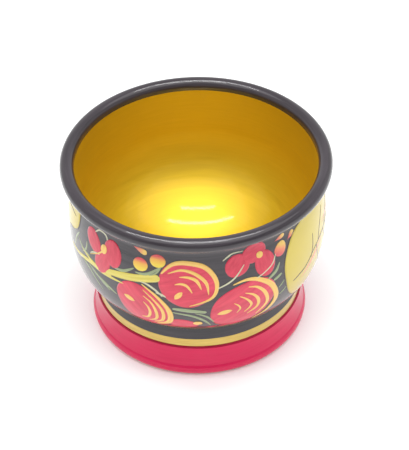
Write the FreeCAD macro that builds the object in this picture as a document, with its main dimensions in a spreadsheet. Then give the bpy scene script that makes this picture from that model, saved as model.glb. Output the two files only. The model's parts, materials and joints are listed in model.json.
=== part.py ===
"""Footed painted bowl, turned from linden wood and lacquered.

The bowl and its foot are two turned pieces, joined by a glued spigot.  Thin coats of enamel and
gold lacquer lie on the turned surfaces.  Millimetres, +Z up, origin at the centre of the base.
"""

import FreeCAD
import Part
import Sketcher

import math
import os

V = FreeCAD.Vector

# alias, value, what it measures.  Radii and levels are those of the bare wood under the coats.
SIZES = [
    ("rim_diameter", 99.6, "outside of the rolled rim"),
    ("bowl_height", 72.3, "base to the top of the rim"),
    ("bead_radius", 2.45, "round section of the rolled rim"),
    ("lip_land", 1.2, "upright strip inside the rim, below the bead"),
    ("neck_step", 3.8, "how far the neck lies inside the rim, on the radius"),
    ("belly_step", 2.1, "how far the belly lies inside the rim, on the radius"),
    ("neck_depth", 9.4, "how far below the top of the rim the belly meets the neck"),
    ("belly_level", 46.0, "height of the widest place"),
    ("belly_lower_radius", 50.0, "arc of the belly below its widest place"),
    ("belly_turn_level", 33.0, "height where the belly starts to turn under"),
    ("belly_under_radius", 19.8, "arc of the belly's turned-under part"),
    ("waist_diameter", 76.6, "upright part of the waist"),
    ("crease_step", 1.3, "how far the crease lies inside the waist, on the radius"),
    ("seat_level", 13.2, "underside of the bowl, where the foot is glued on"),
    ("gold_line_height", 3.4, "upright part of the waist, which carries the gold line"),
    ("spigot_diameter", 50.0, "glued spigot under the bowl"),
    ("glue_gap", 0.15, "thickness of the glue film"),
    ("floor_level", 17.5, "lowest place inside the bowl"),
    ("inside_wall_radius", 240.0, "arc of the inside wall"),
    ("inside_corner_radius", 30.0, "arc between the inside wall and the floor"),
    ("inside_corner_rise", 35.3, "height of that arc's centre above the floor"),
    ("neck_fillet", 3.4, "hollow under the rolled rim"),
    ("shoulder_fillet", 9.0, "soft change from the neck to the belly"),
    ("shoulder_room", 1.3, "upright neck that the soft change may take up at most"),
    ("crease_fillet", 0.8, "hollow of the crease"),
    ("foot_shoulder_step", 0.6, "how far the foot's top stands out from the waist"),
    ("foot_shoulder_fillet", 0.6, "rounded top edge of the foot"),
    ("foot_diameter", 81.2, "widest place of the foot"),
    ("foot_edge_radius", 2.6, "rounded lower edge of the foot"),
    ("foot_arris_rise", 1.8, "height of the arris above the foot's widest place"),
    ("foot_cove_radius", 34.0, "hollow side of the foot"),
    ("foot_bare_level", 0.45, "height where the foot's enamel stops"),
    ("foot_land", 4.0, "width of the ring that the foot stands on"),
    ("recess_slope", 1.0, "how much the recess narrows upwards, on the radius"),
    ("recess_depth", 3.0, "depth of the hollow under the foot"),
    ("enamel_thickness", 0.2, "black and red enamel with its lacquer"),
    ("gilding_thickness", 0.2, "gold lacquer"),
]

doc = FreeCAD.newDocument("painted_bowl")
sheet = doc.addObject("Spreadsheet::Sheet", "Sizes")
for row, (alias, value, meaning) in enumerate(SIZES, start=1):
    sheet.set(f"A{row}", alias.replace("_", " "))
    sheet.set(f"B{row}", str(value))
    sheet.set(f"C{row}", meaning)
    sheet.setAlias(f"B{row}", alias)
doc.recompute()


def size(alias):
    """A driving dimension, as a number."""
    return float(sheet.get(alias))


# What the driving dimensions give together, as expressions for the sketches.
BEAD_X = "Sizes.rim_diameter / 2 - Sizes.bead_radius"
BEAD_Y = "Sizes.bowl_height - Sizes.bead_radius"
BELLY = "Sizes.rim_diameter / 2 - Sizes.belly_step"
NECK = "Sizes.rim_diameter / 2 - Sizes.neck_step"
NECK_LEVEL = "Sizes.bowl_height - Sizes.neck_depth"
SHOULDER = (
    f"min(Sizes.shoulder_fillet; Sizes.shoulder_room * ({NECK_LEVEL} - Sizes.belly_level)"
    " / (Sizes.neck_step - Sizes.belly_step))"
)
INSIDE_CORNER_LEVEL = "Sizes.floor_level + Sizes.inside_corner_rise"
CREASE = "Sizes.waist_diameter / 2 - Sizes.crease_step"
WAIST_TOP = "Sizes.seat_level + Sizes.gold_line_height"
FOOT_TOP = "Sizes.seat_level - Sizes.glue_gap"
FOOT_SHOULDER = "Sizes.waist_diameter / 2 + Sizes.foot_shoulder_step"
FOOT_EDGE = "Sizes.foot_diameter / 2 - Sizes.foot_edge_radius"
BORE = "Sizes.spigot_diameter / 2 + Sizes.glue_gap"


class Outline:
    """A closed outline in the XZ plane, drawn in a sketch and tied to the sheet.

    Every edge is drawn close to its true place; named constraints bound to the sheet then hold it.
    """

    START, END, CENTRE = 1, 2, 3
    ORIGIN = -1
    UPRIGHT_AXIS = -2

    def __init__(self, body, name):
        self.sketch = body.newObject("Sketcher::SketchObject", name)
        plane = [f for f in body.Origin.OriginFeatures if f.Role == "XZ_Plane"][0]
        self.sketch.AttachmentSupport = [(plane, "")]
        self.sketch.MapMode = "FlatFace"

    def line(self, start, end):
        return self.sketch.addGeometry(Part.LineSegment(V(*start, 0), V(*end, 0)))

    def arc(self, centre, radius, start_deg, end_deg):
        """An arc that runs anticlockwise from its start to its end."""
        circle = Part.Circle(V(*centre, 0), V(0, 0, 1), radius)
        return self.sketch.addGeometry(
            Part.ArcOfCircle(circle, math.radians(start_deg), math.radians(end_deg))
        )

    def hold(self, kind, *places):
        return self.sketch.addConstraint(Sketcher.Constraint(kind, *places))

    def join(self, *pairs):
        for edge, point, other, other_point in pairs:
            self.hold("Coincident", edge, point, other, other_point)

    def blend(self, *pairs):
        for edge, point, other, other_point in pairs:
            self.hold("Tangent", edge, point, other, other_point)

    def bind(self, name, expression, kind, *places):
        """A dimension that follows the sheet."""
        index = self.hold(kind, *places)
        self.sketch.renameConstraint(index, name)
        self.sketch.setExpression("Constraints." + name, expression)

    def at_x(self, name, expression, edge, point):
        drawn = self.sketch.getPoint(edge, point).x
        self.bind(name, expression, "DistanceX", self.ORIGIN, 1, edge, point, drawn)

    def at_y(self, name, expression, edge, point):
        drawn = self.sketch.getPoint(edge, point).y
        self.bind(name, expression, "DistanceY", self.ORIGIN, 1, edge, point, drawn)

    def radius(self, name, expression, edge, value):
        self.bind(name, expression, "Radius", edge, value)


def revolve(body, sketch):
    """Turns the outline about the Z axis."""
    doc.recompute()
    turned = body.newObject("PartDesign::Revolution", "Turned_" + body.Name)
    turned.Profile = sketch
    turned.ReferenceAxis = (sketch, ["V_Axis"])
    turned.Angle = 360
    sketch.Visibility = False
    doc.recompute()
    return turned


def ring_edges(shape, radius, near_level):
    """The name of the circular edge of that radius nearest to a level."""
    found = []
    for index, edge in enumerate(shape.Edges, start=1):
        if edge.Degenerated or not isinstance(edge.Curve, Part.Circle):
            continue
        centre = edge.Curve.Center
        if math.hypot(centre.x, centre.y) < 0.01 and abs(edge.Curve.Radius - radius) < 0.01:
            found.append((abs(centre.z - near_level), f"Edge{index}"))
    return [min(found)[1]]


def round_over(body, base, name, radius_expression, radius, near_level):
    """A fillet on one ring edge of a turned body."""
    fillet = body.newObject("PartDesign::Fillet", name)
    fillet.Base = (base, ring_edges(base.Shape, radius, near_level))
    fillet.setExpression("Radius", radius_expression)
    doc.recompute()
    return fillet


def arc_centre(first, second, radius):
    """The centre of an arc through two points, on the left of the way from first to second."""
    gap = second - first
    aside = math.sqrt(radius**2 - (gap.Length / 2) ** 2)
    return (first + second) / 2 + V(-gap.y, gap.x, 0) * (aside / gap.Length)


def heading(centre, point):
    """The angle in degrees at which a point lies from a centre."""
    return math.degrees(math.atan2(point.y - centre.y, point.x - centre.x))


def bowl_body():
    """The turned bowl: rolled rim, neck, belly, waist, hollow inside and the spigot below."""
    body = doc.addObject("PartDesign::Body", "bowl_body")
    draw = Outline(body, "bowl_outline")
    rim, bead = size("rim_diameter") / 2, size("bead_radius")
    bead_x, bead_y = rim - bead, size("bowl_height") - bead
    inner = rim - 2 * bead
    lip_y = bead_y - size("lip_land")
    neck, belly = rim - size("neck_step"), rim - size("belly_step")
    belly_y, turn_y = size("belly_level"), size("belly_turn_level")
    neck_y = size("bowl_height") - size("neck_depth")
    lower, under = size("belly_lower_radius"), size("belly_under_radius")
    waist, seat_y = size("waist_diameter") / 2, size("seat_level")
    crease, waist_y = waist - size("crease_step"), seat_y + size("gold_line_height")
    spigot, recess_y = size("spigot_diameter") / 2, size("recess_depth")
    floor_y = size("floor_level")
    wall_r, corner_r = size("inside_wall_radius"), size("inside_corner_radius")
    corner_y = floor_y + size("inside_corner_rise")

    # first places of the arcs' centres and joints; the constraints below then hold them
    wall_c = V(inner - wall_r, lip_y, 0)
    corner_x = wall_c.x + math.sqrt((wall_r - corner_r) ** 2 - (lip_y - corner_y) ** 2)
    corner_c = V(corner_x, corner_y, 0)
    sunk = corner_y - floor_y
    floor_r = (corner_x**2 + sunk**2 - corner_r**2) / (2 * (sunk - corner_r))
    floor_c = V(0, floor_y + floor_r, 0)
    wall_end = heading(wall_c, corner_c)
    floor_end = heading(floor_c, corner_c)
    turn_deg = -math.degrees(math.asin((belly_y - turn_y) / lower))
    lower_c = V(belly - lower, belly_y, 0)
    reach = math.radians(turn_deg)
    under_c = lower_c + V(math.cos(reach), math.sin(reach), 0) * (lower - under)
    crease_deg = -math.degrees(math.acos((crease - under_c.x) / under))
    crease_y = under_c.y + under * math.sin(math.radians(crease_deg))
    upper = ((belly - neck) ** 2 + (neck_y - belly_y) ** 2) / (2 * (belly - neck))
    upper_c = V(belly - upper, belly_y, 0)
    neck_deg = math.degrees(math.asin((neck_y - belly_y) / upper))
    bead_deg = -math.degrees(math.acos((neck - bead_x) / bead))
    bead_foot_y = bead_y + bead * math.sin(math.radians(bead_deg))

    bead_arc = draw.arc((bead_x, bead_y), bead, bead_deg, 180)
    land = draw.line((inner, bead_y), (inner, lip_y))
    wall = draw.arc((wall_c.x, wall_c.y), wall_r, wall_end, 0)
    corner = draw.arc((corner_c.x, corner_c.y), corner_r, floor_end, wall_end)
    floor = draw.arc((0, floor_c.y), floor_r, -90, floor_end)
    axis = draw.line((0, floor_y), (0, recess_y))
    spigot_end = draw.line((0, recess_y), (spigot, recess_y))
    spigot_side = draw.line((spigot, recess_y), (spigot, seat_y))
    seat = draw.line((spigot, seat_y), (waist, seat_y))
    waist_side = draw.line((waist, seat_y), (waist, waist_y))
    waist_cone = draw.line((waist, waist_y), (crease, crease_y))
    under_arc = draw.arc((under_c.x, under_c.y), under, crease_deg, turn_deg)
    lower_arc = draw.arc((lower_c.x, lower_c.y), lower, turn_deg, 0)
    upper_arc = draw.arc((upper_c.x, upper_c.y), upper, 0, neck_deg)
    neck_line = draw.line((neck, neck_y), (neck, bead_foot_y))

    start, end, centre = draw.START, draw.END, draw.CENTRE
    draw.join(
        (bead_arc, end, land, start),
        (floor, start, axis, start),
        (axis, end, spigot_end, start),
        (spigot_end, end, spigot_side, start),
        (spigot_side, end, seat, start),
        (seat, end, waist_side, start),
        (waist_side, end, waist_cone, start),
        (waist_cone, end, under_arc, start),
        (upper_arc, end, neck_line, start),
        (neck_line, end, bead_arc, start),
    )
    draw.blend(
        (land, end, wall, end),
        (wall, start, corner, end),
        (corner, start, floor, end),
        (lower_arc, start, under_arc, end),
        (upper_arc, start, lower_arc, end),
    )
    for upright in (land, spigot_side, waist_side, neck_line):
        draw.hold("Vertical", upright)
    for level in (spigot_end, seat):
        draw.hold("Horizontal", level)
    draw.hold("Horizontal", bead_arc, centre, bead_arc, end)
    draw.hold("Horizontal", upper_arc, centre, upper_arc, start)
    draw.hold("PointOnObject", floor, centre, draw.UPRIGHT_AXIS)
    draw.hold("PointOnObject", floor, start, draw.UPRIGHT_AXIS)
    draw.hold("PointOnObject", axis, end, draw.UPRIGHT_AXIS)

    draw.at_x("bead_centre_x", BEAD_X, bead_arc, centre)
    draw.at_y("bead_centre_y", BEAD_Y, bead_arc, centre)
    draw.radius("bead", "Sizes.bead_radius", bead_arc, bead)
    draw.at_y("lip_bottom", BEAD_Y + " - Sizes.lip_land", land, end)
    draw.radius("inside_wall", "Sizes.inside_wall_radius", wall, wall_r)
    draw.radius("inside_corner", "Sizes.inside_corner_radius", corner, corner_r)
    draw.at_y("inside_corner_level", INSIDE_CORNER_LEVEL, corner, centre)
    draw.at_y("inside_bottom", "Sizes.floor_level", floor, start)
    draw.at_y("spigot_bottom", "Sizes.recess_depth", axis, end)
    draw.at_x("spigot", "Sizes.spigot_diameter / 2", spigot_end, end)
    draw.at_y("seat", "Sizes.seat_level", spigot_side, end)
    draw.at_x("waist", "Sizes.waist_diameter / 2", seat, end)
    draw.at_y("waist_top", WAIST_TOP, waist_side, end)
    draw.at_x("crease", CREASE, under_arc, start)
    draw.radius("belly_under", "Sizes.belly_under_radius", under_arc, under)
    draw.at_y("belly_turn", "Sizes.belly_turn_level", lower_arc, start)
    draw.radius("belly_lower", "Sizes.belly_lower_radius", lower_arc, lower)
    draw.at_x("belly", BELLY, upper_arc, start)
    draw.at_y("belly_widest", "Sizes.belly_level", upper_arc, start)
    draw.at_x("neck", NECK, neck_line, start)
    draw.at_y("neck_bottom", NECK_LEVEL, neck_line, start)

    turned = revolve(body, draw.sketch)
    hollow = round_over(
        body, turned, "NeckHollow", "Sizes.neck_fillet", neck, bead_foot_y
    )
    soft = round_over(
        body, hollow, "Shoulder", SHOULDER, neck, neck_y
    )
    round_over(body, soft, "Crease", "Sizes.crease_fillet", crease, crease_y)
    return body


def foot_ring():
    """The turned foot: a ring with a hollow side, a rounded edge and a recess underneath."""
    body = doc.addObject("PartDesign::Body", "foot_ring")
    draw = Outline(body, "foot_outline")
    shoulder = size("waist_diameter") / 2 + size("foot_shoulder_step")
    edge_r = size("foot_edge_radius")
    edge_x = size("foot_diameter") / 2 - edge_r
    top_y = size("seat_level") - size("glue_gap")
    bore = size("spigot_diameter") / 2 + size("glue_gap")
    recess, recess_y = edge_x - size("foot_land"), size("recess_depth")
    recess_in = recess - size("recess_slope")
    arris_deg = math.degrees(math.asin(size("foot_arris_rise") / edge_r))
    bare_deg = -math.degrees(math.asin((edge_r - size("foot_bare_level")) / edge_r))
    arris = V(edge_x, edge_r, 0) + V(
        math.cos(math.radians(arris_deg)), math.sin(math.radians(arris_deg)), 0
    ) * edge_r
    cove_r = size("foot_cove_radius")
    cove_c = arc_centre(V(shoulder, top_y, 0), arris, cove_r)

    seat = draw.line((bore, top_y), (shoulder, top_y))
    cove = draw.arc(
        (cove_c.x, cove_c.y),
        cove_r,
        heading(cove_c, V(shoulder, top_y, 0)) % 360,
        heading(cove_c, arris) % 360,
    )
    edge = draw.arc((edge_x, edge_r), edge_r, bare_deg, arris_deg)
    bare = draw.arc((edge_x, edge_r), edge_r, -90, bare_deg)
    land = draw.line((edge_x, 0), (recess, 0))
    slope = draw.line((recess, 0), (recess_in, recess_y))
    ceiling = draw.line((recess_in, recess_y), (bore, recess_y))
    socket = draw.line((bore, recess_y), (bore, top_y))

    start, end, centre = draw.START, draw.END, draw.CENTRE
    draw.join(
        (seat, end, cove, start),
        (cove, end, edge, end),
        (bare, start, land, start),
        (land, end, slope, start),
        (slope, end, ceiling, start),
        (ceiling, end, socket, start),
        (socket, end, seat, start),
        (bare, centre, edge, centre),
        (bare, end, edge, start),
    )
    for level in (seat, land, ceiling):
        draw.hold("Horizontal", level)
    draw.hold("Vertical", socket)
    draw.hold("Vertical", bare, centre, bare, start)

    draw.at_y("top", FOOT_TOP, seat, start)
    draw.at_x("shoulder", FOOT_SHOULDER, seat, end)
    draw.radius("cove", "Sizes.foot_cove_radius", cove, cove_r)
    draw.radius("edge", "Sizes.foot_edge_radius", edge, edge_r)
    draw.at_x("edge_centre_x", FOOT_EDGE, edge, centre)
    draw.at_y("edge_centre_y", "Sizes.foot_edge_radius", edge, centre)
    draw.at_y("arris", "Sizes.foot_edge_radius + Sizes.foot_arris_rise", edge, end)
    draw.at_y("bare_level", "Sizes.foot_bare_level", edge, start)
    draw.at_x("recess", FOOT_EDGE + " - Sizes.foot_land", land, end)
    draw.at_x("recess_inner", FOOT_EDGE + " - Sizes.foot_land - Sizes.recess_slope", slope, end)
    draw.at_y("recess_top", "Sizes.recess_depth", slope, end)
    draw.at_x("bore", BORE, ceiling, end)

    turned = revolve(body, draw.sketch)
    round_over(
        body, turned, "FootShoulder", "Sizes.foot_shoulder_fillet", shoulder, top_y
    )
    return body


def glue_film():
    """The glue between spigot and socket, and between the bowl's seat and the foot's top."""
    body = doc.addObject("PartDesign::Body", "glue_film")
    draw = Outline(body, "glue_outline")
    spigot, gap = size("spigot_diameter") / 2, size("glue_gap")
    low, high = size("recess_depth"), size("seat_level")
    # the seat's film stops where the foot's rounded top edge begins
    outside = size("waist_diameter") / 2 + size("foot_shoulder_step") - 2 * size(
        "foot_shoulder_fillet"
    )
    outside_expression = FOOT_SHOULDER + " - 2 * Sizes.foot_shoulder_fillet"
    corners = [
        ("inner_low", spigot, low, "Sizes.spigot_diameter / 2", "Sizes.recess_depth"),
        ("outer_low", spigot + gap, low, BORE, "Sizes.recess_depth"),
        ("elbow", spigot + gap, high - gap, BORE, FOOT_TOP),
        ("rim_low", outside, high - gap, outside_expression, FOOT_TOP),
        ("rim_high", outside, high, outside_expression, "Sizes.seat_level"),
        ("inner_high", spigot, high, "Sizes.spigot_diameter / 2", "Sizes.seat_level"),
    ]
    edges = [
        draw.line(corner[1:3], after[1:3])
        for corner, after in zip(corners, corners[1:] + corners[:1])
    ]
    for edge, after in zip(edges, edges[1:] + edges[:1]):
        draw.join((edge, draw.END, after, draw.START))
    for edge, (name, _, _, x_expression, y_expression) in zip(edges, corners):
        draw.at_x(name + "_x", x_expression, edge, draw.START)
        draw.at_y(name + "_y", y_expression, edge, draw.START)
    revolve(body, draw.sketch)
    return body


def middle(face):
    """Radius and level at the middle of a turned face, and whether it faces the axis."""
    u_low, u_high, v_low, v_high = face.ParameterRange
    u, v = (u_low + u_high) / 2, (v_low + v_high) / 2
    point, normal = face.valueAt(u, v), face.normalAt(u, v)
    facing_axis = point.x * normal.x + point.y * normal.y < 0
    return math.hypot(point.x, point.y), point.z, facing_axis


def coat(name, body, thickness_alias, covers):
    """A coat on those faces of a turned body that covers(radius, level, facing_axis) picks."""
    ground = Part.makeShell([face for face in body.Shape.Faces if covers(*middle(face))])
    skin = ground.makeOffsetShape(size(thickness_alias), 0.001, fill=True)
    if skin.ShapeType == "Shell":
        skin = Part.Solid(skin)
    piece = doc.addObject("Part::Feature", name)
    piece.Shape = skin
    return piece


def coats(bowl, foot):
    """The four coats.  Each takes its ground from the turned faces, so it fits them exactly."""
    lip_level = size("bowl_height") - size("bead_radius") - size("lip_land")
    seat_level = size("seat_level")
    waist_level = seat_level + size("gold_line_height")

    def inside(radius, level, facing_axis):
        return facing_axis and seat_level < level < lip_level

    def outside(radius, level, facing_axis):
        return level > waist_level and not inside(radius, level, facing_axis)

    def upright_waist(radius, level, facing_axis):
        return seat_level < level < waist_level

    def foot_side(radius, level, facing_axis):
        fillet_foot = seat_level - size("glue_gap") - size("foot_shoulder_fillet")
        return not facing_axis and size("foot_bare_level") < level < fillet_foot

    return [
        coat("gold_lining", bowl, "gilding_thickness", inside),
        coat("black_enamel", bowl, "enamel_thickness", outside),
        coat("gold_line", bowl, "gilding_thickness", upright_waist),
        coat("foot_enamel", foot, "enamel_thickness", foot_side),
    ]


def check(pieces):
    """Stops the build if any object failed or any piece is not a valid solid."""
    for item in doc.Objects:
        if {"Invalid", "Error"} & set(item.State):
            raise RuntimeError(f"{item.Name} failed: {item.State}")
    for piece in pieces:
        shape = piece.Shape
        if shape.isNull() or not shape.isValid() or not shape.Solids or shape.Volume <= 0:
            raise RuntimeError(f"{piece.Label} is not a valid solid")


def main():
    bowl = bowl_body()
    foot = foot_ring()
    pieces = [bowl, foot, glue_film()] + coats(bowl, foot)
    doc.recompute()
    check(pieces)
    os.makedirs("parts", exist_ok=True)
    for piece in pieces:
        piece.Shape.exportStep(f"parts/{piece.Label}.step")
        print(f"{piece.Label}: {piece.Shape.Volume:.1f} mm3, {len(piece.Shape.Faces)} faces")


main()
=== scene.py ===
"""Footed bowl of turned linden wood: gilded inside, black outside, painted with berries and leaves.

The turned wood and its coats are the frame's own nodes and get their finishes here.  The painting
is built here: every brush stroke is a thin closed body that lies on the curved enamel.

Places on the painted belly are given as (azimuth, level): the azimuth in degrees from the front,
growing towards the right, and the level in millimetres above the base.  Sizes are in millimetres.
"""

import json
import math
import random

import bpy
from mathutils import Matrix, Vector

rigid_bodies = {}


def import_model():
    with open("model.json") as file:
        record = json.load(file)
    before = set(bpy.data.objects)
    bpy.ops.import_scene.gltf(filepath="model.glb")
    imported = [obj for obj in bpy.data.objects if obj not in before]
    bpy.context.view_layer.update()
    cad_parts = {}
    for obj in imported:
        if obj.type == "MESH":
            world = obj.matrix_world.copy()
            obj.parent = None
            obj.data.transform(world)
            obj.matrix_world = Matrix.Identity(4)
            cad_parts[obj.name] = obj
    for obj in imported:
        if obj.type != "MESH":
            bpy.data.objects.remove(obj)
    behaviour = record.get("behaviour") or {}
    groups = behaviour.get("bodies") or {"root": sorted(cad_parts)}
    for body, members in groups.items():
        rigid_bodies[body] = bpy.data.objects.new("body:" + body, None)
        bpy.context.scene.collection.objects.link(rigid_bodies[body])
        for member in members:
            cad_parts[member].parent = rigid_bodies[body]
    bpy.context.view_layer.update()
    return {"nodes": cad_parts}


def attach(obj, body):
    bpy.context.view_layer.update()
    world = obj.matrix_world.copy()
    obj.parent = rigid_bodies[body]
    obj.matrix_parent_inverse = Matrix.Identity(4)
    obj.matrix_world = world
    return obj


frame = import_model()

MM = 0.001
UP = Vector((0, 0, 1))
DOWN = Vector((0, 0, -1))
BODY = "root"

for leftover in [o for o in bpy.data.objects if o.name in ("Cube", "Light", "Camera")]:
    bpy.data.objects.remove(leftover)


# ---------------------------------------------------------------- the enamelled belly

WIDEST_LEVEL = 46.0
WIDEST_RADIUS = 47.9
UPPER_ARC = 85.2     # radius of the outline above the widest level
LOWER_ARC = 50.2     # radius of the outline below the widest level
WOOD_ARC = 50.0      # the same arc on the bare wood
TURN_DEPTH = 13.0    # from the widest level down to where the belly turns under
UNDER_ARC = 20.0     # radius of the outline where the belly turns under
UNDER_SWEEP = 44.0   # degrees of that arc that paint may reach
NECK_RADIUS = 46.2
NECK_TOP = 64.4      # level where the neck starts to hollow out towards the rim
HOLLOW_ARC = 3.2     # radius of that hollow
HOLLOW_REACH = 2.5   # how far along the hollow paint may reach
HALVINGS = 40        # steps of the search for a level
TURN_ANGLE = math.asin(TURN_DEPTH / WOOD_ARC)
NECK_ANGLE = math.acos(1 - (WIDEST_RADIUS - NECK_RADIUS) / UPPER_ARC)
LOWEST_RUN = -LOWER_ARC * TURN_ANGLE - UNDER_ARC * math.radians(UNDER_SWEEP)
NECK_RUN = UPPER_ARC * NECK_ANGLE
HOLLOW_RUN = NECK_RUN + NECK_TOP - WIDEST_LEVEL - UPPER_ARC * math.sin(NECK_ANGLE)
HIGHEST_RUN = HOLLOW_RUN + HOLLOW_REACH


def outline(run):
    """Radius, level and normal tilt at a distance along the belly's outline.

    The distance starts at the widest place and grows upwards.
    """
    if run >= HOLLOW_RUN:
        angle = (run - HOLLOW_RUN) / HOLLOW_ARC
        radius = NECK_RADIUS + HOLLOW_ARC * (1 - math.cos(angle))
        return radius, NECK_TOP + HOLLOW_ARC * math.sin(angle), -angle
    if run >= NECK_RUN:
        return NECK_RADIUS, NECK_TOP + run - HOLLOW_RUN, 0.0
    if run >= -LOWER_ARC * TURN_ANGLE:
        reach = UPPER_ARC if run > 0 else LOWER_ARC
        angle = run / reach
        radius = WIDEST_RADIUS - reach * (1 - math.cos(angle))
        return radius, WIDEST_LEVEL + reach * math.sin(angle), angle
    angle = -TURN_ANGLE + (run + LOWER_ARC * TURN_ANGLE) / UNDER_ARC
    shift = LOWER_ARC - UNDER_ARC
    radius = WIDEST_RADIUS - LOWER_ARC + shift * math.cos(TURN_ANGLE)
    level = WIDEST_LEVEL - shift * math.sin(TURN_ANGLE)
    return radius + UNDER_ARC * math.cos(angle), level + UNDER_ARC * math.sin(angle), angle


def run_at(level):
    """The distance along the outline where the belly has that level."""
    low, high = LOWEST_RUN, HIGHEST_RUN
    for _ in range(HALVINGS):
        middle = (low + high) / 2
        if outline(middle)[1] < level:
            low = middle
        else:
            high = middle
    return (low + high) / 2


def on_belly(azimuth, run, lift):
    """The point in metres at an azimuth in radians, a run and a height above the enamel."""
    radius, level, tilt = outline(run)
    outward = Vector((math.sin(azimuth), -math.cos(azimuth), 0))
    normal = outward * math.cos(tilt) + UP * math.sin(tilt)
    return (outward * radius + UP * level + normal * lift) * MM


# ---------------------------------------------------------------- brush work as thin bodies

FILM = 0.07          # thickness of one layer of paint
SUNK = 0.05          # how far a stroke's underside lies in the layer below
LAYER = 0.09         # rise from one layer to the next
STROKE_STEPS = 9     # points from one place of a stroke to the next
STROKE_ACROSS = 7    # points across a stroke
STROKE_FALL = 0.85   # share of the film that a stroke loses at its sides
BLUNT_END = 0.12     # share of its width that a stroke keeps at its ends
SHORTEST = 0.01      # stands in for a width or a length of nothing
BLOT_HUB = 0.04      # innermost ring of a round shape, as a share of its size
BLOT_SPREAD = 0.7    # below 1 the rings crowd towards the edge
BLOT_DOME = 0.25     # how much fuller the film is in the middle
BLOT_FALL = 0.95     # share of the film that a round shape loses at its edge
EDGE_WAVER = 0.012   # unevenness of a round shape's edge
LEAF_STEPS = 10      # points from one corner of a leaf to the next
LEAF_RINGS = 22
LEAF_HUB = 0.03      # innermost ring of a leaf, as a share of its size
LEAF_FALL = 0.8      # share of the film that a leaf loses at its edge
LEAF_LINE = 0.5      # width of the dark line round a leaf


class Paint:
    """Strokes of one paint, gathered into one piece."""

    def __init__(self, name, material, slot):
        self.name = name
        self.material = material
        self.slot = slot
        self.points = []
        self.faces = []
        self.brush = []

    def grid(self, place, across, along, layer, closed):
        """A film over a grid: place(i, j) gives azimuth, run, how full the film is, and its UV."""
        lower = layer * LAYER - SUNK
        first = len(self.points)
        for side in (0, 1):
            for i in range(along):
                for j in range(across):
                    azimuth, run, fullness, uv = place(i, j)
                    lift = layer * LAYER + FILM * fullness if side else lower
                    self.points.append(on_belly(azimuth, run, lift))
                    self.brush.append(uv)
        half = along * across

        def at(side, i, j):
            return first + side * half + i * across + j % across

        spans = across if closed else across - 1
        for i in range(along - 1):
            for j in range(spans):
                top = [at(1, i, j), at(1, i, j + 1), at(1, i + 1, j + 1), at(1, i + 1, j)]
                under = [at(0, i, j), at(0, i + 1, j), at(0, i + 1, j + 1), at(0, i, j + 1)]
                self.faces += [top, under]
        ends = (0, along - 1) if not closed else (along - 1,)
        for i in ends:
            for j in range(spans):
                wall = [at(0, i, j), at(0, i, j + 1), at(1, i, j + 1), at(1, i, j)]
                self.faces.append(wall if i == 0 else wall[::-1])
        if closed:
            for side in (0, 1):
                ring = [at(side, 0, j) for j in range(across)]
                self.faces.append(ring[::-1] if side else ring)
        else:
            for j in (0, across - 1):
                for i in range(along - 1):
                    wall = [at(0, i, j), at(1, i, j), at(1, i + 1, j), at(0, i + 1, j)]
                    self.faces.append(wall if j == 0 else wall[::-1])

    def blot(self, place, size, tilt=0.0, layer=0, edge=None, seed=0, rings=9, around=56):
        """A filled round shape.  edge(turn) gives its outline before it is stretched to size."""
        centre = math.radians(place[0]), run_at(place[1])
        lean = math.radians(tilt)
        chance = random.Random(seed)
        waves = [(k, chance.uniform(0, math.tau), chance.uniform(0.2, 1)) for k in (2, 3, 5)]

        def spot(i, j):
            share = BLOT_HUB + (1 - BLOT_HUB) * (i / (rings - 1)) ** BLOT_SPREAD
            turn = math.tau * j / around
            x, y = math.cos(turn), math.sin(turn)
            if edge:
                x, y = edge(turn)
            uneven = 1 + sum(EDGE_WAVER * s * math.sin(k * turn + p) for k, p, s in waves)
            x, y = x * size[0] * share * uneven, y * size[1] * share * uneven
            across = x * math.cos(lean) - y * math.sin(lean)
            up = x * math.sin(lean) + y * math.cos(lean)
            run = centre[1] + up
            azimuth = centre[0] + across / outline(run)[0]
            uv = (0.5 + x / size[0] / 2, 0.5 + y / size[1] / 2)
            fullness = 1 + BLOT_DOME * (1 - share**2) - BLOT_FALL * share**12
            return azimuth, run, fullness, uv

        self.grid(spot, around, rings, layer, closed=True)

    def stroke(self, places, widths, layer=0):
        """A round-ended brush stroke through places, with a width at each place."""
        centre = [(math.radians(a), run_at(level)) for a, level in places]
        path = smooth([(a, r, w) for (a, r), w in zip(centre, widths)], STROKE_STEPS)
        flat = [Vector((a * outline(r)[0], r)) for a, r, _ in path]
        length = [0.0]
        for one, other in zip(flat, flat[1:]):
            length.append(length[-1] + (other - one).length)
        total = length[-1]

        def spot(i, j):
            azimuth, run, width = path[i]
            before, after = flat[max(i - 1, 0)], flat[min(i + 1, len(flat) - 1)]
            along = (after - before).normalized()
            half = width / 2
            near = min(length[i], total - length[i]) / max(half, SHORTEST)
            half *= max(math.sqrt(max(1 - (1 - min(near, 1)) ** 2, 0)), BLUNT_END)
            side = 2 * j / (STROKE_ACROSS - 1) - 1
            dx, dy = -along.y * half * side, along.x * half * side
            run += dy
            uv = (length[i] / max(total, SHORTEST), (side + 1) / 2)
            return azimuth + dx / outline(run)[0], run, 1 - STROKE_FALL * side**4, uv

        self.grid(spot, STROKE_ACROSS, len(path), layer, closed=False)

    def finish(self):
        """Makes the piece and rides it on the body."""
        mesh = bpy.data.meshes.new(self.name)
        mesh.from_pydata(self.points, [], self.faces)
        layer = mesh.uv_layers.new(name="Brush")
        for loop in mesh.loops:
            layer.data[loop.index].uv = self.brush[loop.vertex_index]
        mesh.polygons.foreach_set("use_smooth", [True] * len(mesh.polygons))
        mesh.materials.append(self.material)
        mesh.validate()
        mesh.update()
        piece = bpy.data.objects.new(self.name, mesh)
        bpy.context.scene.collection.objects.link(piece)
        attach(piece, BODY)


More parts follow.
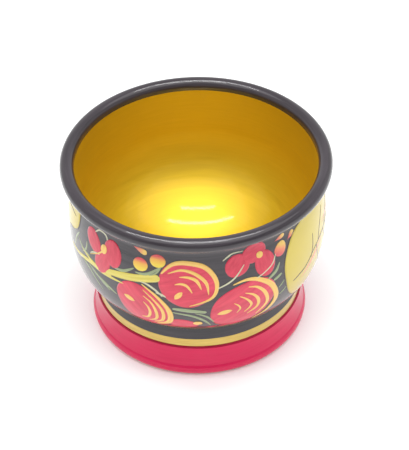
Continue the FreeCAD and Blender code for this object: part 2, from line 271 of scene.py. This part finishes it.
def smooth(points, steps):
    """A Catmull-Rom curve through points that have any number of coordinates."""
    ends = [points[0]] + list(points) + [points[-1]]
    made = []
    for a, b, c, d in zip(ends, ends[1:], ends[2:], ends[3:]):
        for k in range(steps):
            t = k / steps
            made.append(
                tuple(
                    0.5 * (2 * q + (r - p) * t + (2 * p - 5 * q + 4 * r - s) * t**2
                           + (3 * q - p - 3 * r + s) * t**3)
                    for p, q, r, s in zip(a, b, c, d)
                )
            )
    made.append(tuple(points[-1]))
    return made


# ---------------------------------------------------------------- shader node helpers


def new_group(name, inputs, outputs):
    """An empty node group with the given (name, kind, default) inputs and (name, kind) outputs."""
    group = bpy.data.node_groups.new(name, "ShaderNodeTree")
    for label, kind, default in inputs:
        socket = group.interface.new_socket(label, in_out="INPUT", socket_type=kind)
        socket.default_value = default
    for label, kind in outputs:
        group.interface.new_socket(label, in_out="OUTPUT", socket_type=kind)
    return group, group.nodes.new("NodeGroupInput"), group.nodes.new("NodeGroupOutput")


def feed(tree, socket, value):
    """Links a socket to another node's output, or sets the socket's own value."""
    if isinstance(value, bpy.types.NodeSocket):
        tree.links.new(value, socket)
    else:
        socket.default_value = value


def math_node(tree, operation, *values):
    node = tree.nodes.new("ShaderNodeMath")
    node.operation = operation
    for socket, value in zip(node.inputs, values):
        feed(tree, socket, value)
    return node.outputs[0]


def noise_node(tree, vector, scale, detail, roughness):
    node = tree.nodes.new("ShaderNodeTexNoise")
    settings = {"Vector": vector, "Scale": scale, "Detail": detail, "Roughness": roughness}
    for label, value in settings.items():
        feed(tree, node.inputs[label], value)
    return node.outputs["Fac"]


def combine(tree, x, y, z):
    node = tree.nodes.new("ShaderNodeCombineXYZ")
    for socket, value in zip(node.inputs, (x, y, z)):
        feed(tree, socket, value)
    return node.outputs[0]


def turning_lines():
    """Rings left by the lathe and the round brush: noise that is nearly constant round the axis."""
    group, given, made = new_group(
        "Turning lines",
        [("Spacing", "NodeSocketFloat", 1.0), ("Waver", "NodeSocketFloat", 0.15)],
        [("Lines", "NodeSocketFloat")],
    )
    place = group.nodes.new("ShaderNodeTexCoord")
    split = group.nodes.new("ShaderNodeSeparateXYZ")
    group.links.new(place.outputs["Object"], split.inputs[0])
    x, y, z = split.outputs
    radius = math_node(
        group, "SQRT",
        math_node(group, "ADD", math_node(group, "MULTIPLY", x, x), math_node(group, "MULTIPLY", y, y)),
    )
    waver = given.outputs["Waver"]
    flat_x = math_node(group, "MULTIPLY", x, waver)
    ring = combine(
        group,
        math_node(group, "ADD", radius, flat_x),
        math_node(group, "MULTIPLY", y, waver),
        z,
    )
    scale = math_node(group, "DIVIDE", 1 / MM, given.outputs["Spacing"])
    group.links.new(noise_node(group, ring, scale, 4.0, 0.6), made.inputs["Lines"])
    return group


def brush_streaks():
    """Streaks that the brush's hairs leave along a stroke, from the piece's own brush map."""
    group, given, made = new_group(
        "Brush streaks",
        [("Along", "NodeSocketFloat", 2.0), ("Across", "NodeSocketFloat", 14.0)],
        [("Streaks", "NodeSocketFloat"), ("Along place", "NodeSocketFloat"),
         ("Across place", "NodeSocketFloat")],
    )
    brush = group.nodes.new("ShaderNodeUVMap")
    brush.uv_map = "Brush"
    split = group.nodes.new("ShaderNodeSeparateXYZ")
    group.links.new(brush.outputs[0], split.inputs[0])
    spread = combine(
        group,
        math_node(group, "MULTIPLY", split.outputs[0], given.outputs["Along"]),
        math_node(group, "MULTIPLY", split.outputs[1], given.outputs["Across"]),
        0.0,
    )
    group.links.new(noise_node(group, spread, 1.0, 5.0, 0.65), made.inputs["Streaks"])
    group.links.new(split.outputs[0], made.inputs["Along place"])
    group.links.new(split.outputs[1], made.inputs["Across place"])
    return group


TURNING = turning_lines()
STREAKS = brush_streaks()


def place_group(tree, group, **values):
    node = tree.nodes.new("ShaderNodeGroup")
    node.node_tree = group
    for label, value in values.items():
        node.inputs[label].default_value = value
    return node


def shader(name, roughness, metallic=0.0, coat=1.0, coat_roughness=0.04, gloss=0.1):
    """A Principled shader whose constants sit on its own sockets; coat is its clear lacquer."""
    material = bpy.data.materials.new(name)
    material.use_nodes = True
    tree = material.node_tree
    main = tree.nodes["Principled BSDF"]
    main.inputs["Roughness"].default_value = roughness
    main.inputs["Metallic"].default_value = metallic
    main.inputs["Coat Weight"].default_value = coat
    main.inputs["Coat Roughness"].default_value = coat_roughness
    main.inputs["Specular IOR Level"].default_value = gloss
    return material, tree, main


def ramp(tree, factor, stops):
    node = tree.nodes.new("ShaderNodeValToRGB")
    tree.links.new(factor, node.inputs[0])
    elements = node.color_ramp.elements
    while len(elements) < len(stops):
        elements.new(0.5)
    for element, (position, colour) in zip(elements, stops):
        element.position = position
        element.color = (*colour, 1.0)
    return node.outputs[0]


def relief(tree, main, height, strength, distance):
    """Raises the surface a little by a height."""
    node = tree.nodes.new("ShaderNodeBump")
    node.inputs["Strength"].default_value = strength
    node.inputs["Distance"].default_value = distance * MM
    tree.links.new(height, node.inputs["Height"])
    tree.links.new(node.outputs[0], main.inputs["Normal"])


def spread_roughness(tree, main, factor, low, high):
    node = tree.nodes.new("ShaderNodeMapRange")
    node.inputs["To Min"].default_value = low
    node.inputs["To Max"].default_value = high
    tree.links.new(factor, node.inputs["Value"])
    tree.links.new(node.outputs[0], main.inputs["Roughness"])


# ---------------------------------------------------------------- finishes

WAVER = 0.06                     # how far the lathe's rings stray from true circles
PAINT_ROUGHNESS = 0.35
LINDEN_DARK = (0.52, 0.36, 0.2)
LINDEN_LIGHT = (0.68, 0.5, 0.3)
GROOVE_SHADE_LEVEL = 12.3         # the foot's wood is coloured dark red above this level: the foot's red, darkened as painted shade of the groove


def turned_lacquer(name, dark, light, spacing, roughness, metallic=0.0, bump=0.3, **more):
    """A colour brushed on the spinning lathe under clear lacquer."""
    material, tree, main = shader(name, roughness, metallic, **more)
    lines = place_group(tree, TURNING, Spacing=spacing, Waver=WAVER).outputs["Lines"]
    tree.links.new(ramp(tree, lines, [(0.3, dark), (0.7, light)]), main.inputs["Base Color"])
    spread_roughness(tree, main, lines, roughness * 0.75, roughness * 1.3)
    relief(tree, main, lines, bump, 0.02)
    return material


def brushed_paint(name, dark, light, across):
    """One paint, streaked along the stroke, with the given fineness across it."""
    material, tree, main = shader(name, PAINT_ROUGHNESS)
    brush = place_group(tree, STREAKS, Along=1.5, Across=across)
    streaks = brush.outputs["Streaks"]
    tree.links.new(ramp(tree, streaks, [(0.32, dark), (0.68, light)]), main.inputs["Base Color"])
    spread_roughness(tree, main, streaks, PAINT_ROUGHNESS * 0.8, PAINT_ROUGHNESS * 1.2)
    relief(tree, main, streaks, 0.25, 0.03)
    return material


def shaded_paint(name, stops, turned=False):
    """A paint that passes from one colour to another across the shape, with streaks."""
    material, tree, main = shader(name, PAINT_ROUGHNESS)
    brush = place_group(tree, STREAKS, Along=2.0, Across=6.0)
    place = brush.outputs["Along place" if turned else "Across place"]
    soft = math_node(tree, "MULTIPLY", math_node(tree, "SUBTRACT", brush.outputs["Streaks"], 0.5), 0.35)
    tree.links.new(ramp(tree, math_node(tree, "ADD", place, soft), stops), main.inputs["Base Color"])
    relief(tree, main, brush.outputs["Streaks"], 0.2, 0.03)
    return material


black_enamel = turned_lacquer(
    "black_enamel_finish", (0.020, 0.015, 0.020), (0.046, 0.037, 0.046), 1.4, 0.3, bump=0.12
)
gold_lacquer = turned_lacquer(
    "gold_lacquer_finish", (0.63, 0.43, 0.024), (0.69, 0.48, 0.030), 0.8, 0.50, metallic=0.82, bump=0.08,
    coat=0.35, coat_roughness=0.08
)
gold_band = turned_lacquer(
    "gold_band_finish", (0.58, 0.40, 0.07), (0.74, 0.54, 0.13), 0.7, 0.4, metallic=0.6, bump=0.3
)
red_enamel = turned_lacquer(
    "red_enamel_finish", (0.68, 0.004, 0.075), (0.74, 0.008, 0.09), 1.2, 0.32, bump=0.08, coat=0.7
)
linden = turned_lacquer(
    "linden_finish", LINDEN_DARK, LINDEN_LIGHT, 1.1, 0.55, coat=0.0, bump=0.6
)


def groove_shaded_wood(name, groove_level, groove_shade_colour):
    """Bare linden, with its upper edge in the foot's red, darkened there as painted shade of the groove."""
    material, tree, main = shader(name, 0.5, coat=0.2)
    lines = place_group(tree, TURNING, Spacing=1.1, Waver=WAVER).outputs["Lines"]
    place = tree.nodes.new("ShaderNodeTexCoord")
    split = tree.nodes.new("ShaderNodeSeparateXYZ")
    tree.links.new(place.outputs["Object"], split.inputs[0])
    above = math_node(tree, "GREATER_THAN", split.outputs[2], groove_level * MM)
    mix = tree.nodes.new("ShaderNodeMix")
    mix.data_type = "RGBA"
    factor, bare, edge = (
        [s for s in mix.inputs if s.name == label and s.enabled][0] for label in ("Factor", "A", "B")
    )
    # painted shade: above this level the wood takes the foot's red, darkened for the shade in the groove
    # under the gold line
    tree.links.new(above, factor)
    tree.links.new(ramp(tree, lines, [(0.3, LINDEN_DARK), (0.7, LINDEN_LIGHT)]), bare)
    edge.default_value = (*groove_shade_colour, 1)
    mixed = [s for s in mix.outputs if s.enabled][0]
    tree.links.new(mixed, main.inputs["Base Color"])
    relief(tree, main, lines, 0.4, 0.02)
    return material


# the dark red given here is the foot's red with painted shade of the groove
foot_wood = groove_shaded_wood("foot_wood_finish", GROOVE_SHADE_LEVEL, (0.42, 0.01, 0.045))
glue = turned_lacquer("glue_finish", (0.12, 0.08, 0.04), (0.2, 0.14, 0.07), 1.0, 0.5, coat=0.2)

strawberry_red = brushed_paint("strawberry_red", (0.55, 0.01, 0.05), (0.78, 0.05, 0.10), across=7.0)
petal_red = brushed_paint("petal_red", (0.55, 0.01, 0.045), (0.75, 0.04, 0.09), across=5.0)
seed_yellow = brushed_paint("seed_yellow", (0.80, 0.42, 0.08), (0.92, 0.66, 0.18), across=3.0)
stem_yellow = brushed_paint("stem_yellow", (0.62, 0.50, 0.05), (0.80, 0.70, 0.16), across=3.0)
stroke_green = brushed_paint("stroke_green", (0.18, 0.23, 0.10), (0.42, 0.49, 0.28), across=3.0)
outline_pale = brushed_paint("outline_pale", (0.50, 0.48, 0.30), (0.72, 0.72, 0.52), across=3.0)
vein_dark = brushed_paint("vein_dark", (0.05, 0.03, 0.02), (0.10, 0.06, 0.03), across=3.0)
berry_paint = shaded_paint(
    "berry_paint", [(0.2, (0.85, 0.62, 0.05)), (0.58, (0.85, 0.44, 0.06)), (0.85, (0.75, 0.08, 0.09))]
)
tear_paint = shaded_paint(
    "tear_paint", [(0.1, (0.70, 0.07, 0.10)), (0.5, (0.82, 0.25, 0.12)), (0.8, (0.85, 0.55, 0.12))],
    turned=True
)
leaf_gold = shaded_paint(
    "leaf_gold", [(0.0, (0.58, 0.37, 0.05)), (0.35, (0.63, 0.48, 0.05)), (1.0, (0.68, 0.54, 0.08))]
)
leaf_blush = brushed_paint("leaf_blush", (0.75, 0.22, 0.12), (0.85, 0.42, 0.18), across=5.0)

FINISHES = {
    "bowl_body": linden,
    "foot_ring": foot_wood,
    "glue_film": glue,
    "gold_lining": gold_lacquer,
    "black_enamel": black_enamel,
    "gold_line": gold_band,
    "foot_enamel": red_enamel,
}
for node, finish in FINISHES.items():
    materials = frame["nodes"][node].data.materials
    materials.clear()
    materials.append(finish)


# ---------------------------------------------------------------- the painting


def drop(turn):
    """A tear outline: round at one end and pointed at the other."""
    return math.cos(turn), 0.65 * math.sin(turn) * (1 + math.cos(turn))


def almond(turn):
    """A seed outline, pointed at both ends."""
    return math.cos(turn), math.sin(turn) * abs(math.sin(turn)) ** 0.7


def egg(turn):
    """A fruit outline, a little narrower at its tip."""
    return math.cos(turn), math.sin(turn) * (1 - 0.14 * math.cos(turn))


class Sprig:
    """One painted sprig: it moves, mirrors and stretches every place along the belly."""

    def __init__(self, name, centre, turned, stretch):
        self.name = name
        self.centre = centre
        self.turned = turned
        self.stretch = stretch
        self.seed = len(name)

    def place(self, azimuth, level):
        side = -1 if self.turned else 1
        return self.centre + side * self.stretch * azimuth, level

    def places(self, spots):
        return [self.place(*spot) for spot in spots]

    def tilt(self, degrees):
        return 180 - degrees if self.turned else degrees

    def paint(self, name, material, slot):
        return Paint(f"{self.name}_{name}", material, slot)

    def strawberry(self, name, place, size, tilt, crescents, seed):
        fruit = self.paint(f"strawberry_{name}", strawberry_red, "red_enamel")
        fruit.blot(self.place(*place), size, self.tilt(tilt), edge=egg, rings=14, around=88, seed=self.seed)
        fruit.finish()
        marks = self.paint(f"strawberry_{name}_marks", seed_yellow, "yellow_paint")
        for spots, widths in crescents:
            marks.stroke(self.places(spots), widths, layer=1)
        spot, seed_size, seed_tilt = seed
        marks.blot(self.place(*spot), seed_size, self.tilt(seed_tilt), layer=1, edge=almond, around=32)
        marks.finish()

    def blossom(self, name, petals, heart, heart_size, heart_tilt, tail=None):
        flower = self.paint(f"blossom_{name}", petal_red, "red_enamel")
        for number, (place, size, tilt) in enumerate(petals):
            flower.blot(
                self.place(*place), size, self.tilt(tilt), layer=0.35 * number, seed=self.seed + number
            )
        flower.finish()
        middle = self.paint(f"blossom_{name}_heart", seed_yellow, "yellow_paint")
        middle.blot(self.place(*heart), heart_size, self.tilt(heart_tilt), layer=2, around=32)
        if tail:
            middle.stroke(self.places(tail[0]), tail[1], layer=2)
        middle.finish()


def paint_sprig(sprig):
    """The berries, blossoms, fruit and stems of one sprig."""
    stems = sprig.paint("stems", stem_yellow, "yellow_paint")
    stems.stroke(
        sprig.places([(-74, 44), (-67, 44), (-60, 45.5), (-52.5, 46.5), (-45.5, 46), (-34.5, 46)]),
        [0.6, 1.3, 1.7, 1.9, 1.6, 0.5],
    )
    stems.stroke(
        sprig.places([(-50, 46.5), (-41, 48.5), (-33, 50), (-25, 51.5), (-17, 53.5)]),
        [1.2, 2.6, 3.2, 3.3, 3.2],
        layer=0.3,
    )
    stems.stroke(
        sprig.places([(-62, 49.5), (-54.5, 47.5), (-47, 46.5), (-41, 47)]), [0.4, 1.2, 1.8, 0.8], layer=0.2
    )
    stems.finish()

    pale = sprig.paint("fine_lines", outline_pale, "green_paint")
    for spots, widths, layer in (
        ([(-27, 50), (-23, 49.5), (-19, 47.5), (-16, 45)], [0.3, 0.8, 0.9, 0.3], 0),
        ([(-19, 46.5), (-16.5, 46), (-14.5, 45)], [0.4, 0.9, 0.4], 0),
        ([(8, 49.5), (13, 51.5), (16.5, 54), (20, 58)], [0.5, 0.7, 0.6, 0.3], 1.2),
        ([(10.5, 61), (13, 62.5), (15.5, 63.5), (20, 63.5)], [0.3, 0.7, 0.6, 0.3], 0),
        ([(24.5, 50), (29, 51.5), (33.5, 54), (35.5, 57.5)], [0.3, 0.6, 0.7, 0.3], 1),
        ([(-52, 61.5), (-49, 63.5), (-45, 63), (-43.5, 60)], [0.4, 0.8, 0.8, 0.4], 0),
        ([(-54.5, 51), (-52, 52.5), (-48, 53.5)], [0.3, 0.7, 0.4], 1),
    ):
        pale.stroke(sprig.places(spots), widths, layer=layer)
    pale.finish()

    greens = sprig.paint("green_strokes", stroke_green, "green_paint")
    for spots, widths in (
        ([(-64.5, 54.5), (-67.5, 51), (-69.5, 46)], [0.4, 1.0, 0.4]),
        ([(-57.5, 54.5), (-58, 51), (-61, 48)], [0.4, 0.9, 0.4]),
        ([(-65, 52), (-61, 49.5), (-55, 49)], [0.4, 1.0, 0.4]),
        ([(-40, 51.5), (-34.5, 52), (-29, 55)], [0.4, 1.3, 0.4]),
        ([(-28.5, 53.5), (-23, 54), (-16, 58.5)], [0.4, 1.3, 0.4]),
        ([(-22, 53.5), (-18.5, 55.5), (-16, 59)], [0.4, 0.8, 0.3]),
        ([(-52, 43), (-45.5, 41), (-39, 38.5)], [0.5, 1.8, 0.4]),
        ([(-56, 45), (-50, 42.5), (-43, 38.5)], [0.4, 1.2, 0.4]),
        ([(-61, 44.5), (-55, 42), (-48, 36)], [0.4, 1.1, 0.3]),
        ([(30.5, 47.5), (33, 48.5), (35.5, 50), (37.5, 53)], [0.4, 1.2, 1.3, 0.4]),
        ([(34, 46), (36, 46.5), (38.5, 47.5)], [0.8, 1.3, 0.8]),
        ([(37, 41), (38.5, 42), (40, 43.5)], [0.3, 0.6, 0.3]),
        ([(38, 37), (40, 38), (42, 39.5)], [0.3, 0.6, 0.3]),
        ([(-12, 39.5), (-5, 39), (3, 38)], [1.0, 1.9, 1.2]),
        ([(-12.5, 37.5), (-3.5, 36), (2, 33), (5, 29.5)], [0.4, 1.1, 1.0, 0.3]),
        ([(-2, 37.5), (3, 35.5), (6.5, 31.5)], [0.3, 0.9, 0.3]),
    ):
        greens.stroke(sprig.places(spots), widths)
    greens.finish()

    sprig.blossom(
        "left",
        [((-52.5, 57.5), (5.4, 3.5), 125), ((-46.5, 50.5), (5.4, 3.8), 70), ((-40.5, 57), (5.8, 4.1), 96)],
        (-45.5, 57), (2.1, 1.5), 80,
        ([(-46, 56), (-49, 53.5), (-54.5, 50.5)], [0.8, 0.5, 0.2]),
    )
    sprig.blossom(
        "right",
        [((17, 58), (5.0, 4.5), 60), ((25, 61.5), (4.9, 4.0), 20), ((30, 55.5), (5.8, 4.1), 100)],
        (27.5, 60), (1.4, 1.3), 100,
    )
    sprig.strawberry(
        "left", (-26, 37.5), (12.4, 9.6), 130,
        [
            ([(-25.5, 49), (-18.5, 44.5), (-13.5, 38), (-14, 31.5), (-20.5, 28.5)],
             [0.5, 1.2, 2.0, 2.0, 0.5]),
            ([(-25, 46.5), (-20, 42.5), (-16.5, 37.5), (-17, 32), (-21.5, 29.5)], [0.3, 0.8, 1.3, 1.2, 0.4]),
            ([(-25, 43.5), (-21.5, 41), (-19.5, 36.5), (-20, 32), (-24, 30)], [0.3, 0.8, 1.2, 1.0, 0.3]),
            ([(-25, 40.5), (-23, 38), (-22.5, 35), (-24, 32), (-27, 31.5)], [0.3, 0.8, 1.1, 0.9, 0.3]),
        ],
        ((-32, 40), (2.3, 1.15), -22),
    )
    sprig.strawberry(
        "centre", (-4.5, 51.5), (10.8, 10.4), 14,
        [
            ([(-16.5, 55.5), (-11.5, 60), (-5, 61), (3, 59), (7.5, 52.5), (5.5, 45.5), (-4.5, 41.5)],
             [0.6, 1.5, 1.9, 1.9, 1.6, 1.1, 0.3]),
            ([(-13.5, 56), (-7.5, 58), (-1.5, 56.5), (3, 52.5), (4, 47)], [0.3, 1.0, 1.4, 1.2, 0.3]),
            ([(-8.5, 55), (-4.5, 55), (-1, 53.5), (1, 49.5)], [0.3, 1.1, 1.3, 0.3]),
            ([(-10.5, 51.5), (-7.5, 52), (-5, 51), (-3, 48)], [0.3, 1.0, 1.0, 0.3]),
        ],
        ((-9, 46.5), (2.3, 1.05), 52),
    )
    sprig.strawberry(
        "right", (20.5, 39), (13.6, 10.6), 35,
        [
            ([(14.5, 50), (20.5, 51), (26.5, 49.5), (33, 44.5), (36, 37), (32.5, 31.5), (25, 28.5)],
             [0.4, 1.2, 1.8, 2.1, 2.1, 1.6, 0.5]),
            ([(21.5, 47.5), (26, 46), (30, 41.5), (31, 36), (26, 31.5)], [0.3, 1.0, 1.4, 1.3, 0.4]),
            ([(20, 45), (24, 43), (26.5, 39.5), (26, 36), (21.5, 33.5)], [0.3, 0.9, 1.3, 1.1, 0.3]),
            ([(17.5, 44), (20.5, 42), (23, 39), (22.5, 37), (20, 35)], [0.3, 0.7, 1.0, 0.8, 0.3]),
            ([(15, 41), (17, 39.5), (18, 37.5), (16.5, 35.5)], [0.2, 0.6, 0.6, 0.2]),
        ],
        ((11, 37), (2.8, 1.15), 12),
    )

    berries = sprig.paint("rowan_berries", berry_paint, "yellow_paint")
    berries.blot(sprig.place(-26, 57.5), (2.85, 2.9), layer=0.3, seed=3)
    berries.blot(sprig.place(-18, 60.5), (2.9, 2.75), layer=0.3, seed=4)
    berries.finish()
    tears = sprig.paint("tear_berries", tear_paint, "red_enamel")
    for spot, size, tilt, outline_shape in (
        ((-26.5, 63.5), (3.0, 1.4), -20, drop),
        ((38.5, 58.5), (3.2, 2.5), 64, egg),
        ((38.5, 63), (2.5, 1.1), 14, drop),
        ((45, 61.5), (2.2, 1.4), 34, drop),
    ):
        tears.blot(sprig.place(*spot), size, sprig.tilt(tilt), edge=outline_shape, around=40)
    tears.finish()

    bud = sprig.paint("low_bud", strawberry_red, "red_enamel")
    bud.blot(sprig.place(-7.5, 30.5), (5.4, 3.2), sprig.tilt(-4), edge=egg, seed=7)
    for start in (-21.5, -15.5, 3, 8.5, 14):
        bud.stroke(sprig.places([(start, 28), (start + 2.5, 28), (start + 5, 28.5)]), [0.4, 1.1, 0.3])
    bud.finish()
    bud_eye = sprig.paint("low_bud_eye", seed_yellow, "yellow_paint")
    bud_eye.blot(sprig.place(-1, 31.5), (1.7, 1.2), layer=1, around=32)
    bud_eye.finish()


def paint_leaf(name, edge_places, veins, blushes):
    """A big golden leaf with its dark outline, its veins and a blush of red."""
    corners = [(math.radians(a), run_at(level)) for a, level in edge_places]
    ring = smooth(corners + corners[:1], LEAF_STEPS)[:-1]
    middle = [sum(c[k] for c in corners) / len(corners) for k in (0, 1)]
    low, high = min(r for _, r in ring), max(r for _, r in ring)
    left, right = min(a for a, _ in ring), max(a for a, _ in ring)
    leaf = Paint(f"{name}_leaf", leaf_gold, "gold_lacquer")

    def spot(i, j):
        share = LEAF_HUB + (1 - LEAF_HUB) * i / (LEAF_RINGS - 1)
        azimuth = middle[0] + (ring[j % len(ring)][0] - middle[0]) * share
        run = middle[1] + (ring[j % len(ring)][1] - middle[1]) * share
        uv = ((azimuth - left) / (right - left), (run - low) / (high - low))
        return azimuth, run, 1 - LEAF_FALL * share**16, uv

    leaf.grid(spot, len(ring), LEAF_RINGS, 0, closed=True)
    leaf.finish()
    lines = Paint(f"{name}_leaf_lines", vein_dark, "black_enamel")
    lines.stroke(edge_places + edge_places[:1], [LEAF_LINE] * (len(edge_places) + 1), layer=0.5)
    for spots, widths in veins:
        lines.stroke(spots, widths, layer=0.8)
    lines.finish()
    blush = Paint(f"{name}_leaf_blush", leaf_blush, "red_enamel")
    for spots, widths in blushes:
        blush.stroke(spots, widths, layer=0.5)
    blush.finish()


paint_sprig(Sprig("front", 0.0, turned=False, stretch=1.0))
paint_sprig(Sprig("back", 157.0, turned=True, stretch=1.08))
paint_leaf(
    "right",
    [(54, 64.5), (46.5, 61.5), (42, 56), (40, 49.5), (41, 42), (44.5, 34), (52, 28.5), (64, 26.5),
     (77, 28.5), (88, 33), (97, 39), (105, 45.5), (106, 47.5), (99, 52), (91, 58), (80, 63), (67, 65.5)],
    [
        ([(46, 39.5), (50, 40.5), (55, 42), (62, 46), (74, 48.5), (88, 49), (101, 47)],
         [0.4, 0.7, 0.6, 0.6, 0.6, 0.5, 0.2]),
        ([(60.5, 54), (60.5, 49), (59, 43.5)], [0.2, 0.5, 0.3]),
        ([(66, 47.4), (68.4, 53), (73, 59)], [0.4, 0.5, 0.2]),
        ([(75, 48.6), (78.4, 53), (84, 57.4)], [0.4, 0.5, 0.2]),
        ([(84.6, 49), (88, 51.6), (92.6, 53.8)], [0.4, 0.5, 0.2]),
        ([(64, 46.6), (66.6, 40.5), (72, 33.5)], [0.4, 0.5, 0.2]),
        ([(73, 48.4), (77, 42.4), (83, 36.6)], [0.4, 0.5, 0.2]),
        ([(83, 49), (87, 44.8), (92, 41.2)], [0.4, 0.5, 0.2]),
    ],
    [
        ([(52, 38), (58, 40.6), (64, 43.6), (70, 46.4)], [0.5, 2.2, 2.4, 0.6]),
        ([(72, 52), (80, 52.6), (90, 51.4), (98, 49)], [0.4, 1.8, 1.6, 0.4]),
    ],
)
paint_leaf(
    "left",
    [(-66, 64.5), (-64.8, 60), (-66, 55.5), (-70, 52.6), (-77, 50.6), (-86, 45), (-96, 38.5), (-107, 33.5),
     (-118, 31.5), (-126, 30.5), (-128, 32), (-127, 40), (-124, 49), (-118, 57), (-108, 62.5), (-95, 65.5),
     (-80, 66)],
    [
        ([(-69, 59), (-80, 58.6), (-92, 54.6), (-104, 48), (-114, 41), (-124, 34)],
         [0.2, 0.6, 0.7, 0.6, 0.5, 0.2]),
        ([(-84, 57.6), (-92, 60.6), (-99, 61.6)], [0.4, 0.5, 0.2]),
        ([(-94, 53.8), (-102, 56), (-109, 56.6)], [0.4, 0.5, 0.2]),
        ([(-104, 48), (-111, 49.6), (-118, 49.4)], [0.4, 0.5, 0.2]),
        ([(-88, 56.4), (-92, 51), (-94, 46)], [0.4, 0.5, 0.2]),
        ([(-99, 51), (-102, 45.6), (-104, 40.6)], [0.4, 0.5, 0.2]),
        ([(-109, 44.6), (-112, 40), (-114, 36.6)], [0.4, 0.5, 0.2]),
    ],
    [
        ([(-86, 54), (-95, 49.4), (-105, 43.6), (-114, 38)], [0.5, 2.0, 2.2, 0.6]),
        ([(-80, 61.4), (-90, 60), (-100, 56.6)], [0.4, 1.6, 0.4]),
    ],
)


# ---------------------------------------------------------------- floor, light and camera

FLOOR_REACH = 3.0      # metres from the middle to the floor's edge
FLOOR_DROP = 0.1       # keeps the floor clear of the foot's face
FLOOR_GLOW = 0.14      # a little light of its own, so that the red foot tints it less
ROOM_FRONT = 0.42      # strength of the room's light in front of the bowl
ROOM_BACK = 0.76       # and at its sides and behind it


def make_floor():
    mesh = bpy.data.meshes.new("floor")
    corners = [(x * FLOOR_REACH, y * FLOOR_REACH) for x, y in ((-1, -1), (1, -1), (1, 1), (-1, 1))]
    mesh.from_pydata([(x, y, -FLOOR_DROP * MM) for x, y in corners], [], [(0, 1, 2, 3)])
    floor = bpy.data.objects.new("floor", mesh)
    bpy.context.scene.collection.objects.link(floor)
    material, _, main = shader("floor_paper", 0.7, coat=0.0, gloss=0.2)
    main.inputs["Base Color"].default_value = (0.85, 0.86, 0.86, 1)
    main.inputs["Emission Color"].default_value = (1, 1, 1, 1)
    main.inputs["Emission Strength"].default_value = FLOOR_GLOW
    mesh.materials.append(material)


def ceiling_lamp(name, place, width, depth, radiance):
    """A rectangular lamp that shines straight down, with its radiance in the room light's units."""
    data = bpy.data.lights.new(name, "AREA")
    data.shape = "RECTANGLE"
    data.size = width
    data.size_y = depth
    data.energy = radiance * math.pi * width * depth
    lamp = bpy.data.objects.new(name, data)
    lamp.location = place
    lamp.rotation_euler = DOWN.to_track_quat("-Z", "Y").to_euler()
    bpy.context.scene.collection.objects.link(lamp)


def soft_studio():
    """The room's light, darker in front of the bowl, and three lamps overhead."""
    bpy.context.scene.view_settings.view_transform = "Standard"
    world = bpy.data.worlds.new("studio")
    bpy.context.scene.world = world
    world.use_nodes = True
    background = world.node_tree.nodes["Background"]
    background.inputs["Color"].default_value = (1, 1, 1, 1)
    tree = world.node_tree
    direction = tree.nodes.new("ShaderNodeTexCoord")
    split = tree.nodes.new("ShaderNodeSeparateXYZ")
    room = tree.nodes.new("ShaderNodeMapRange")
    tree.links.new(direction.outputs["Generated"], split.inputs[0])
    tree.links.new(split.outputs[1], room.inputs["Value"])
    reach = {"From Min": -0.9, "From Max": -0.2, "To Min": ROOM_FRONT, "To Max": ROOM_BACK}
    for label, value in reach.items():
        room.inputs[label].default_value = value
    tree.links.new(room.outputs[0], background.inputs["Strength"])
    ceiling_lamp("ceiling_panel", (0.12, -0.33, 1.1), 1.9, 1.25, 1.2)
    ceiling_lamp("strip_near", (-0.01, -0.195, 1.08), 0.5, 0.03, 44.0)
    ceiling_lamp("strip_far", (-0.04, 0.05, 1.08), 0.95, 0.04, 36.0)


CAMERA_DISTANCE = 613.0
CAMERA_HEIGHT = 559.3
CAMERA_PITCH = 40.32
CAMERA_YAW = 0.24
CAMERA_ROLL = -1.24
CAMERA_LENS = 188.85
CAMERA_SENSOR = 36.0


def make_camera():
    data = bpy.data.cameras.new("camera")
    data.lens = CAMERA_LENS
    data.sensor_fit = "HORIZONTAL"
    data.sensor_width = CAMERA_SENSOR
    camera = bpy.data.objects.new("camera", data)
    turn = (
        Matrix.Rotation(-math.radians(CAMERA_YAW), 4, "Z")
        @ Matrix.Rotation(math.radians(90 - CAMERA_PITCH), 4, "X")
        @ Matrix.Rotation(math.radians(CAMERA_ROLL), 4, "Z")
    )
    camera.matrix_world = Matrix.Translation((0, -CAMERA_DISTANCE * MM, CAMERA_HEIGHT * MM)) @ turn
    bpy.context.scene.collection.objects.link(camera)
    bpy.context.scene.camera = camera


make_floor()
soft_studio()
make_camera()
